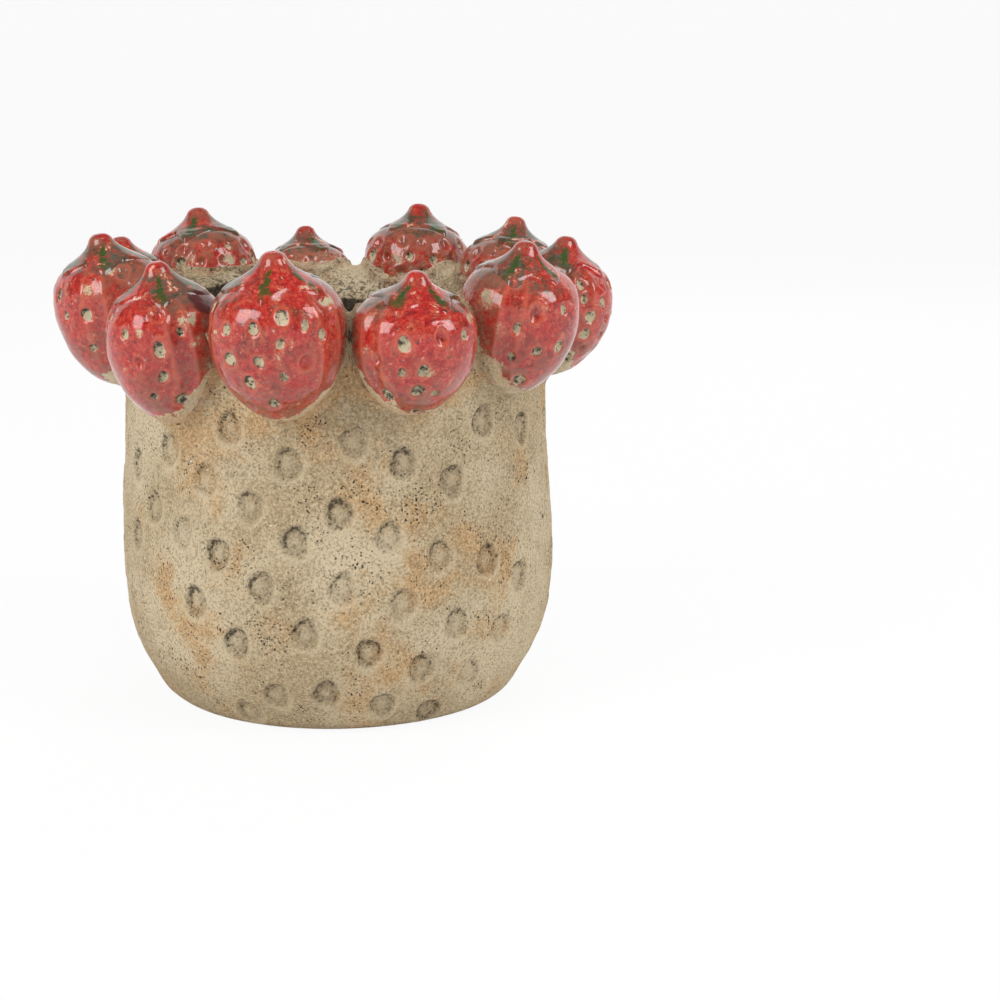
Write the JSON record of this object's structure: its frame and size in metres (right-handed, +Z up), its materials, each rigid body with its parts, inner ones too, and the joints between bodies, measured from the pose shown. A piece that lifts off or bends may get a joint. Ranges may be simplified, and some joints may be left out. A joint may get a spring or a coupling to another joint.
{
  "type": "strawberry rim flower pot",
  "caption": "Round cover pot of sandy unglazed clay with ringed dimples, a wide mouth and a rim of red glazed strawberries with leaf crowns, standing on a flat foot.",
  "frame": {"origin": "centre of the flat foot, on the surface the pot stands on", "axes": "+Z up along the pot's own axis, the pictured front towards -Y, +X to the right"},
  "size_m": [0.2489, 0.2499, 0.2143],
  "materials": {
    "clay": "unglazed sandy clay, matt and pitted",
    "berry_glaze": "glossy red glaze, worn through to clay",
    "leaf_glaze": "glossy red glaze with green smears"
  },
  "bodies": {
    "root": {"pot_body": "clay", "rim_ring": "clay", "strawberry_01": "berry_glaze", "leaf_crown_01": "leaf_glaze", "strawberry_02": "berry_glaze", "leaf_crown_02": "leaf_glaze", "strawberry_03": "berry_glaze", "leaf_crown_03": "leaf_glaze", "strawberry_04": "berry_glaze", "leaf_crown_04": "leaf_glaze", "strawberry_05": "berry_glaze", "leaf_crown_05": "leaf_glaze", "strawberry_06": "berry_glaze", "leaf_crown_06": "leaf_glaze", "strawberry_07": "berry_glaze", "leaf_crown_07": "leaf_glaze", "strawberry_08": "berry_glaze", "leaf_crown_08": "leaf_glaze", "strawberry_09": "berry_glaze", "leaf_crown_09": "leaf_glaze", "strawberry_10": "berry_glaze", "leaf_crown_10": "leaf_glaze", "strawberry_11": "berry_glaze", "leaf_crown_11": "leaf_glaze"}
  },
  "joints": []
}
